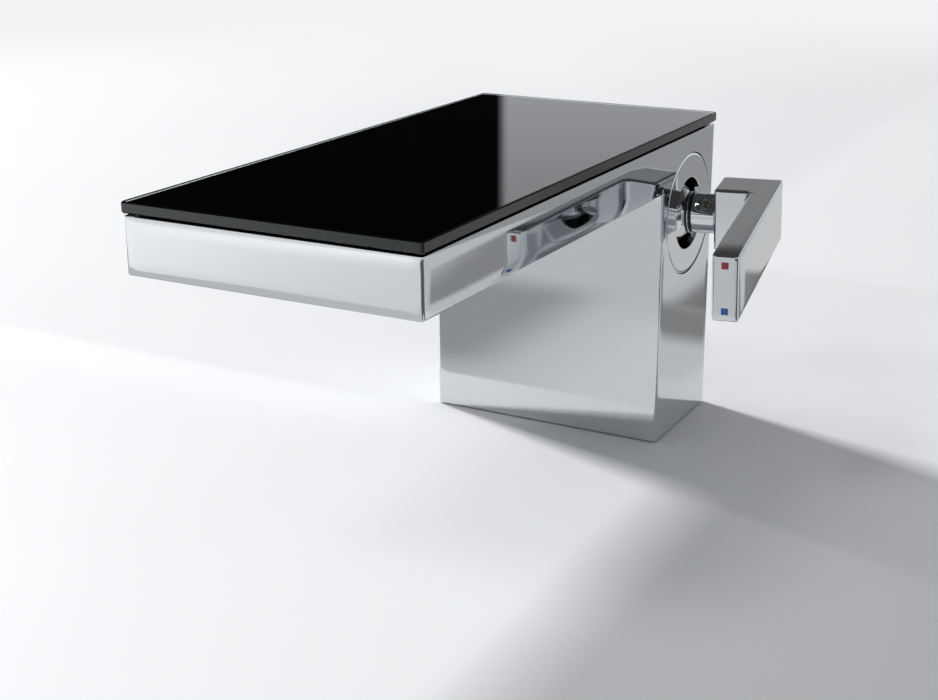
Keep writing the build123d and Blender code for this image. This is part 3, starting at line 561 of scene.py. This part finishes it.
def plated_chrome(name, edges=(), origin=(0.0, 0.0, 0.0), axes=((1, 0, 0), (0, 1, 0), (0, 0, 1))):
    """Chrome over buffed brass: patches of haze, fine wipes along Y, slow waves, crowned edges."""
    material, tree = new_material(name)
    place = add_node(tree, "ShaderNodeTexCoord")
    clouds = add_node(tree, "ShaderNodeTexNoise", {
        "Vector": place.outputs["Object"], "Scale": features_of(18), "Detail": 3.0,
    })
    along_buff = add_node(tree, "ShaderNodeMapping", {
        "Vector": place.outputs["Object"], "Scale": (1.0, 0.12, 1.0),
    })
    wipes = add_node(tree, "ShaderNodeTexNoise", {
        "Vector": along_buff.outputs["Vector"], "Scale": features_of(0.8), "Detail": 2.0,
    })
    haze = add_node(tree, "ShaderNodeMapRange", {
        "Value": clouds.outputs["Fac"], "From Min": noise_low, "From Max": noise_high,
        "To Min": 0.015, "To Max": 0.045,
    })
    rough = add_node(tree, "ShaderNodeMath", {
        0: wipes.outputs["Fac"], 1: 0.02, 2: haze.outputs["Result"],
    }, operation="MULTIPLY_ADD")
    waves = add_node(tree, "ShaderNodeTexNoise", {
        "Vector": place.outputs["Object"], "Scale": features_of(14), "Detail": 1.0,
    })
    swell = add_node(tree, "ShaderNodeBump", {
        "Height": waves.outputs["Fac"], "Distance": 0.004 * MM, "Strength": 1.0,
    })
    normal = swell.outputs["Normal"]
    if edges:
        normal = crowned(tree, place.outputs["Object"], normal, edges, origin, axes)
    metal = add_node(tree, "ShaderNodeBsdfPrincipled", {
        "Base Color": colour("#dcdfe2"), "Metallic": 1.0, "Roughness": rough.outputs["Value"],
        "Normal": normal,
    })
    add_node(tree, "ShaderNodeOutputMaterial", {"Surface": metal.outputs["BSDF"]})
    return material


chrome = plated_chrome("chrome plate over brass, buffed")
print(chrome.name)

# %% [markdown]
# The body's faces are crowned over about 5 mm along their edges. Each edge is a plane: which
# coordinate it stands on, where, which way the metal lies, how far the crown reaches and how deep
# it falls, and on which part of the body it counts.

# %% Chrome of the body
body_low, body_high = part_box("body_shell")
broad = (5.0 * MM, 0.22 * MM)
anywhere = ("Z", -1.0, -0.9)
column_only = ("Z", head_bottom, head_bottom - 0.2 * MM)
head_only = ("Y", column_front, column_front - 1.0 * MM)
body_edges = [
    ("X", float(body_high[0]), -1, *broad, *anywhere),
    ("X", float(body_low[0]), 1, *broad, *anywhere),
    ("X", column_left, 1, *broad, *column_only),
    ("Y", float(body_low[1]), 1, *broad, *anywhere),
    ("Y", float(body_high[1]), -1, *broad, *anywhere),
    ("Y", column_front, 1, *broad, *column_only),
    ("Z", float(body_high[2]), -1, *broad, *anywhere),
    ("Z", head_bottom, 1, *broad, *head_only),
]
body_chrome = plated_chrome("chrome plate over brass, crowned body", body_edges)
print("crowned edges on the body:", len(body_edges))

# %% [markdown]
# The lever is small, so the wheel rolls over its edges harder and within a shorter width. It stands
# turned, so its edges are measured along its own axes, from the pivot: out along the stem, back
# along the arm, and up. At rest it is open by the tilt joint's lower limit. The arm's end is held
# to the wheel longest, so its faces roll off towards it over some 14 mm.

# %% The lever's own axes
joints = {joint["name"]: joint for joint in frame["joints"]}
pivot = np.array(joints["temperature_turn"]["pos_m"])
tilt_axis = np.array(joints["flow_tilt"]["axis"])
open_angle = -np.radians(joints["flow_tilt"]["range_deg"][0])
straight_out = np.array([1.0, 0.0, 0.0])
stem_axis = (
    straight_out * np.cos(open_angle) + np.cross(tilt_axis, straight_out) * np.sin(open_angle)
    + tilt_axis * (tilt_axis @ straight_out) * (1 - np.cos(open_angle))
)
lever_axes = np.array([stem_axis, np.cross(tilt_axis, stem_axis), tilt_axis])
print("stem axis:", np.round(stem_axis, 3))

# %% Chrome of the lever
block_face = 24.6 * MM
arm_face = 39.2 * MM
outer_face = 49.0 * MM
block_front = -8.6 * MM
block_back = 11.0 * MM
arm_end = -82.7 * MM
half_height = 12.8 * MM
tight = (3.0 * MM, 0.22 * MM)
long_roll = (14.0 * MM, 0.9 * MM)
arm_only = ("Y", block_front, block_front - 1.0 * MM)
block_only = ("X", arm_face, arm_face - 1.0 * MM)
lever_edges = [
    ("Z", half_height, -1, *tight, *anywhere),
    ("Z", -half_height, 1, *tight, *anywhere),
    ("Y", arm_end, 1, *long_roll, *anywhere),
    ("Y", block_back, -1, *tight, *anywhere),
    ("Y", block_front, 1, *tight, *block_only),
    ("X", outer_face, -1, *tight, *anywhere),
    ("X", block_face, 1, *tight, *anywhere),
    ("X", arm_face, 1, *tight, *arm_only),
]
lever_chrome = plated_chrome(
    "chrome plate over brass, crowned lever", lever_edges, pivot.tolist(), lever_axes.tolist(),
)
print("crowned edges on the lever:", len(lever_edges))

# %% [markdown]
# ## Steel and brass inside
# Screws are headed cold, the closing plate is rolled sheet, the valve block is cast and the
# pipes are turned. All are plain metals, so one function serves them: a colour pair, a range of
# roughness, and a grain with a size, a depth and a direction.

# %% Bare metals
def bare_metal(name, dark, light, rough_range, grain_mm, depth_mm, grain_shape=(1.0, 1.0, 1.0)):
    """Bare metal: two close tones, and a grain that moves both its roughness and its relief."""
    material, tree = new_material(name)
    place = add_node(tree, "ShaderNodeTexCoord")
    lay = add_node(tree, "ShaderNodeMapping", {
        "Vector": place.outputs["Object"], "Scale": grain_shape,
    })
    grain = add_node(tree, "ShaderNodeTexNoise", {
        "Vector": lay.outputs["Vector"], "Scale": features_of(grain_mm), "Detail": 3.0,
    })
    patches = add_node(tree, "ShaderNodeTexNoise", {
        "Vector": place.outputs["Object"], "Scale": features_of(9),
    })
    tone = add_node(tree, "ShaderNodeMix", {
        "Factor": patches.outputs["Fac"], 6: colour(dark), 7: colour(light),
    }, data_type="RGBA")
    rough = add_node(tree, "ShaderNodeMapRange", {
        "Value": grain.outputs["Fac"], "From Min": noise_low, "From Max": noise_high,
        "To Min": rough_range[0], "To Max": rough_range[1],
    })
    ridges = add_node(tree, "ShaderNodeBump", {
        "Height": grain.outputs["Fac"], "Distance": depth_mm * MM,
    })
    metal = add_node(tree, "ShaderNodeBsdfPrincipled", {
        "Base Color": tone.outputs[2], "Metallic": 1.0, "Roughness": rough.outputs["Result"],
        "Normal": ridges.outputs["Normal"],
    })
    add_node(tree, "ShaderNodeOutputMaterial", {"Surface": metal.outputs["BSDF"]})
    return material


# Bright heads with a fine random grain; the grain is drawn a little coarser than real.
screw_steel = bare_metal(
    "stainless steel, cold headed", "#b4b3af", "#bebdb9", (0.22, 0.36), 0.6, 0.004,
)
# Sheet with a long grain in the rolling direction, which stretches its highlights.
cover_steel = bare_metal(
    "stainless sheet, cold rolled", "#a5a5a3", "#adadab", (0.28, 0.45), 0.5, 0.003, (1.0, 0.02, 1.0),
)
# Sand casting leaves a coarse, dull skin.
cast_brass = bare_metal("yellow brass, sand cast", "#b8964a", "#c9a95c", (0.45, 0.65), 0.7, 0.05)
# Turning leaves fine rings, so the shine is brighter and its grain finer.
turned_brass = bare_metal(
    "free-cutting brass, turned", "#bd9b4e", "#c9a95c", (0.18, 0.30), 0.25, 0.006,
)
# The nut behind the cover disc is painted near black, as painted shade, so that the gap round the dome
# stays dark.
shade_dark_brass = bare_metal("turned brass, painted dark for shade", "#2f2d2b", "#3a3835", (0.35, 0.50), 0.3, 0.006)
bare_metals = (screw_steel, cover_steel, cast_brass, turned_brass, shade_dark_brass)
print("metals:", [metal.name for metal in bare_metals])

# %% [markdown]
# ## Plastic, rubber and ceramic
# They differ in how sharp their shine is. Moulded nylon has a fine spark texture, rubber is
# duller, and lapped ceramic is almost as smooth as glass. The skins are drawn about twice as
# coarse as real ones, because finer ones would not show.

# %% Moulded parts
def moulded(name, dark, light, rough_range, skin_mm, depth_mm):
    """A moulded part: two close tones, and a skin that moves both its roughness and its relief."""
    material, tree = new_material(name)
    place = add_node(tree, "ShaderNodeTexCoord")
    skin = add_node(tree, "ShaderNodeTexNoise", {
        "Vector": place.outputs["Object"], "Scale": features_of(skin_mm), "Detail": 3.0,
    })
    flow = add_node(tree, "ShaderNodeTexNoise", {
        "Vector": place.outputs["Object"], "Scale": features_of(20 * skin_mm),
    })
    tone = add_node(tree, "ShaderNodeMix", {
        "Factor": flow.outputs["Fac"], 6: colour(dark), 7: colour(light),
    }, data_type="RGBA")
    rough = add_node(tree, "ShaderNodeMapRange", {
        "Value": skin.outputs["Fac"], "From Min": noise_low, "From Max": noise_high,
        "To Min": rough_range[0], "To Max": rough_range[1],
    })
    texture = add_node(tree, "ShaderNodeBump", {
        "Height": skin.outputs["Fac"], "Distance": depth_mm * MM,
    })
    body = add_node(tree, "ShaderNodeBsdfPrincipled", {
        "Base Color": tone.outputs[2], "Roughness": rough.outputs["Result"],
        "Normal": texture.outputs["Normal"],
    })
    add_node(tree, "ShaderNodeOutputMaterial", {"Surface": body.outputs["BSDF"]})
    return material


bond = moulded("butyl tape, extruded", "#0b0b0b", "#121212", (0.55, 0.75), 0.4, 0.02)
rubber = moulded("EPDM rubber, moulded", "#151515", "#1d1d1d", (0.55, 0.70), 0.3, 0.01)
silicone = moulded("silicone rubber, moulded", "#76787a", "#828486", (0.38, 0.50), 0.3, 0.008)
black_nylon = moulded("black nylon, moulded", "#131314", "#19191a", (0.28, 0.42), 0.25, 0.008)
pale_acetal = moulded("acetal, moulded", "#d5d5d0", "#deded9", (0.30, 0.42), 0.25, 0.006)
blue_nylon = moulded("glass-filled nylon, moulded", "#7a8594", "#8792a0", (0.35, 0.50), 0.25, 0.010)
ceramic = moulded("alumina ceramic, lapped", "#e9e8e3", "#f0efea", (0.06, 0.12), 0.2, 0.001)
red_enamel = moulded("red enamel, filled and polished", "#8f2a32", "#9a3039", (0.15, 0.25), 0.4, 0.002)
blue_enamel = moulded("blue enamel, filled and polished", "#1c56a0", "#2260ac", (0.15, 0.25), 0.4, 0.002)
print("a moulded skin:", black_nylon.name)

# %% [markdown]
# ## Glass
# The plate on top is float glass, 4 mm thick. Its faces are as the float bath left them, its rim
# is ground and polished, and its back is enamelled black. The enamel touches the glass, so it is
# drawn as a thin sheet just inside it, and no second mirror image appears under the first.

# %% Float glass, its rim and its black back
glass_ior = 1.52


def float_glass():
    """Float glass, tempered: clear, with a green tint that grows with the length of the path."""
    material, tree = new_material("float glass, tempered")
    place = add_node(tree, "ShaderNodeTexCoord")
    ripples = add_node(tree, "ShaderNodeTexNoise", {
        "Vector": place.outputs["Object"], "Scale": features_of(25),
    })
    rough = add_node(tree, "ShaderNodeMapRange", {
        "Value": ripples.outputs["Fac"], "From Min": noise_low, "From Max": noise_high,
        "To Min": 0.0, "To Max": 0.012,
    })
    pane = add_node(tree, "ShaderNodeBsdfPrincipled", {
        "Base Color": colour("#f2fbf7"), "Roughness": rough.outputs["Result"], "IOR": glass_ior,
        "Transmission Weight": 1.0,
    })
    tint = add_node(tree, "ShaderNodeVolumeAbsorption", {"Color": colour("#7fbfa5"), "Density": 18.0})
    add_node(tree, "ShaderNodeOutputMaterial", {
        "Surface": pane.outputs["BSDF"], "Volume": tint.outputs["Volume"],
    })
    return material


def ground_rim():
    """Ground and polished glass edge: dark green-grey, with a shine that the wheel left uneven."""
    material, tree = new_material("float glass edge, ground and polished")
    place = add_node(tree, "ShaderNodeTexCoord")
    wheel = add_node(tree, "ShaderNodeTexNoise", {
        "Vector": place.outputs["Object"], "Scale": features_of(1.5), "Detail": 3.0,
    })
    tone = add_node(tree, "ShaderNodeMix", {
        "Factor": wheel.outputs["Fac"], 6: colour("#1a2020"), 7: colour("#232b2a"),
    }, data_type="RGBA")
    rough = add_node(tree, "ShaderNodeMapRange", {
        "Value": wheel.outputs["Fac"], "From Min": noise_low, "From Max": noise_high,
        "To Min": 0.10, "To Max": 0.20,
    })
    edge = add_node(tree, "ShaderNodeBsdfPrincipled", {
        "Base Color": tone.outputs[2], "Roughness": rough.outputs["Result"], "IOR": glass_ior,
    })
    add_node(tree, "ShaderNodeOutputMaterial", {"Surface": edge.outputs["BSDF"]})
    return material


def back_enamel():
    """Ceramic enamel, fired on: dense black, with no shine of its own under the glass."""
    material, tree = new_material("ceramic enamel, fired")
    place = add_node(tree, "ShaderNodeTexCoord")
    clouds = add_node(tree, "ShaderNodeTexNoise", {
        "Vector": place.outputs["Object"], "Scale": features_of(60),
    })
    tone = add_node(tree, "ShaderNodeMix", {
        "Factor": clouds.outputs["Fac"], 6: colour("#040405"), 7: colour("#070708"),
    }, data_type="RGBA")
    coat = add_node(tree, "ShaderNodeBsdfPrincipled", {
        "Base Color": tone.outputs[2], "Roughness": 0.55, "Specular IOR Level": 0.0,
    })
    add_node(tree, "ShaderNodeOutputMaterial", {"Surface": coat.outputs["BSDF"]})
    return material


glass = float_glass()
rim = ground_rim()
enamel = back_enamel()
print("glass:", glass.name, "/", rim.name, "/", enamel.name)

# %% [markdown]
# ## Give every node of the frame its finish
# A node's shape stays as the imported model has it. Only its material is exchanged.

# %% Finishes by node
nodes_of = {
    body_chrome: "body_shell",
    lever_chrome: "lever_handle",
    chrome: "spray_plate cover_disc dome_cap lever_stem",
    cover_steel: "top_cover_plate",
    screw_steel: "top_cover_screws spray_plate_screws base_plate_screws post_screws pivot_pin set_screw",
    bond: "glass_bond",
    rubber: (
        "spray_chamber_gasket feed_pipe_seals inlet_pipe_seals cartridge_seals cover_disc_seal "
        "base_gasket"
    ),
    silicone: "spray_nozzles",
    black_nylon: "spray_chamber collar_ring",
    pale_acetal: "cartridge_housing cartridge_base disc_carrier",
    blue_nylon: "cartridge_rotor",
    cast_brass: "valve_block base_plate",
    turned_brass: "feed_pipe hot_inlet_pipe cold_inlet_pipe block_posts spindle",
    shade_dark_brass: "cartridge_nut",
    ceramic: "fixed_ceramic_disc moving_ceramic_disc",
    red_enamel: "hot_mark",
    blue_enamel: "cold_mark",
    glass: "glass_plate",
}
finished = 0
for finish, names in nodes_of.items():
    for name in names.split():
        nodes[name].data.materials.clear()
        nodes[name].data.materials.append(finish)
        finished += 1
print("nodes with a finish:", finished, "of", len(nodes))

# %% [markdown]
# ## The glass plate
# The rim is ground flat and both its edges get a narrow polished bevel. The plate is a grid: one
# way round the rounded rectangle, the other way up the rim from the underside to the top. Two flat
# faces close it.

# %% Rounded slabs
def rounded_outline(low, high, radius, steps):
    """Points round a rectangle: four quarter circles about centres one radius inside its corners."""
    quarter = np.linspace(0.0, np.pi / 2, steps)
    angles = (quarter + np.pi / 2 * np.arange(4)[:, None]).ravel()
    corners = np.array([[high[0], high[1]], [low[0], high[1]], [low[0], low[1]], [high[0], low[1]]])
    inward = radius * np.array([[-1, -1], [1, -1], [1, 1], [-1, 1]])
    centres = np.repeat(corners + inward, steps, axis=0)
    return centres + radius * np.column_stack([np.cos(angles), np.sin(angles)])


def rimmed_slab(low, high, radius, levels, insets, steps=7):
    """Rounded rectangle carried up through levels, drawn in by an inset at each, with flat ends."""
    columns = 4 * steps
    rings = np.stack([
        np.column_stack([
            rounded_outline(low + inset, high - inset, radius - inset / 2, steps),
            np.full(columns, height),
        ])
        for height, inset in zip(levels, insets)
    ])
    last = (len(levels) - 1) * columns
    faces = grid_faces(len(levels), columns)
    faces += [list(range(columns))[::-1], [last + place for place in range(columns)]]
    return rings, faces


# %% [markdown]
# The middle one of the three bands of quads round the rim is the ground face. It alone gets the
# rim's finish, so the bevels stay as clear as the faces.

# %% Make the glass and its enamel
low_corner, high_corner = (np.array(corner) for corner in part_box("glass_plate"))
underside = low_corner[2]
top_side = high_corner[2]
bevel = 0.5 * MM
corner_radius = 1.2 * MM
points, faces = rimmed_slab(
    low_corner[:2], high_corner[:2], corner_radius,
    [underside, underside + bevel, top_side - bevel, top_side], [bevel, 0.0, 0.0, bevel],
)
glass_top = new_object("glass_plate_polished", points, faces, [glass, rim])
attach(glass_top, "root")
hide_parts("glass_plate")
band = points.shape[1]
face_finish = np.zeros(len(faces), dtype=np.int32)
face_finish[band:2 * band] = 1
glass_top.data.polygons.foreach_set("material_index", face_finish)

coat_depth = 0.03 * MM
coat_inset = bevel + 0.1 * MM
points, faces = rimmed_slab(
    low_corner[:2], high_corner[:2], corner_radius,
    [underside + coat_depth, underside + 2 * coat_depth], [coat_inset, coat_inset],
)
back_coat = new_object("glass_back_enamel", points, faces, [enamel])
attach(back_coat, "root")
print("glass plate:", np.round((high_corner - low_corner) / MM, 1), "mm")

# %% [markdown]
# ## Round parts about an axis
# The cover disc and the bead on the collar are round. Each is a profile of distances along an
# axis and radii, carried round that axis.

# %% Carry a profile round an axis
def turned_surface(profile, centre, axis, steps):
    """centre + along * axis + radius * (cos a * across + sin a * axis x across), for all a round."""
    axis = np.array(axis) / np.linalg.norm(axis)
    across = np.cross(axis, [0.3, 0.5, 0.81])
    across /= np.linalg.norm(across)
    angle = np.linspace(0.0, 2 * np.pi, steps, endpoint=False)[:, None]
    spokes = np.cos(angle) * across + np.sin(angle) * np.cross(axis, across)
    along, radius = np.array(profile).T
    return np.array(centre) + along[:, None, None] * axis + radius[:, None, None] * spokes


def edge_arc(along, radius, size, start_degrees, end_degrees, steps=6):
    """(along, radius) plus size times (cos, sin) between two angles; size is one radius or a pair."""
    angles = np.radians(np.linspace(start_degrees, end_degrees, steps))
    return np.array([along, radius]) + np.array(size) * np.column_stack([np.cos(angles), np.sin(angles)])


disc_low, disc_high = (np.array(corner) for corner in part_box("cover_disc"))
print("disc face at x", round(disc_high[0] / MM, 2), "mm, back at", round(disc_low[0] / MM, 2), "mm")

# %% [markdown]
# The cover disc is a pressed and plated cap with a skirt behind it. What the eye sees is the
# rolled edge of its face: a thin bright line with a dark one beside it. A flat oval rounding
# gives that, and narrow bands next to each rounding keep the flat face flat.

# %% Cover disc
disc_steps = 144
disc_thickness = 2.5 * MM
hole_radius = 14.8 * MM
hole_round = 0.4 * MM
skirt_inner = 23.2 * MM
skirt_outer = 24.4 * MM
rim_round = 0.5 * MM
rim_width = 1.5 * MM
hold = 0.08 * MM
disc_radius = (disc_high[2] - disc_low[2]) / 2
face_x = disc_high[0] - pivot[0]
back_x = disc_low[0] - pivot[0]
disc_back = face_x - disc_thickness
profile = np.vstack([
    [[disc_back, disc_radius], [disc_back + hold, disc_radius], [face_x - rim_round - hold, disc_radius]],
    edge_arc(face_x - rim_round, disc_radius - rim_width, [rim_round, rim_width], 90, 0, 12),
    [[face_x, disc_radius - rim_width - hold], [face_x, hole_radius + hole_round + hold]],
    edge_arc(face_x - hole_round, hole_radius + hole_round, hole_round, 0, -90),
    [[face_x - hole_round - hold, hole_radius], [disc_back, hole_radius], [disc_back, skirt_inner]],
    [[back_x, skirt_inner], [back_x, skirt_outer], [disc_back, skirt_outer]],
])
points = turned_surface(profile, pivot, (1.0, 0.0, 0.0), disc_steps)
faces = grid_faces(len(profile), disc_steps, close_rows=True)
disc = new_object("cover_disc_rolled", points, faces, [chrome])
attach(disc, "root")
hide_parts("cover_disc")
print("disc:", round(2 * disc_radius / MM, 1), "mm across")

# %% [markdown]
# Between the dome and the stem sits a black collar with one bright bead round its middle. The
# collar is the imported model's. The bead is a plated wire, so it is a small circle carried round
# the stem's axis.

# %% Bead on the collar
bead_steps = 96
bead_place = 13.5 * MM
bead_ring = 8.3 * MM
bead_size = 0.28 * MM
bead_profile = edge_arc(bead_place, bead_ring, bead_size, 180, -150, 12)
points = turned_surface(bead_profile, pivot, stem_axis, bead_steps)
faces = grid_faces(len(bead_profile), bead_steps, close_rows=True)
bead = new_object("collar_bead", points, faces, [chrome], smooth_degrees=60.0)
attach(bead, "lever")
print("bead:", round(2 * (bead_ring + bead_size) / MM, 1), "mm across")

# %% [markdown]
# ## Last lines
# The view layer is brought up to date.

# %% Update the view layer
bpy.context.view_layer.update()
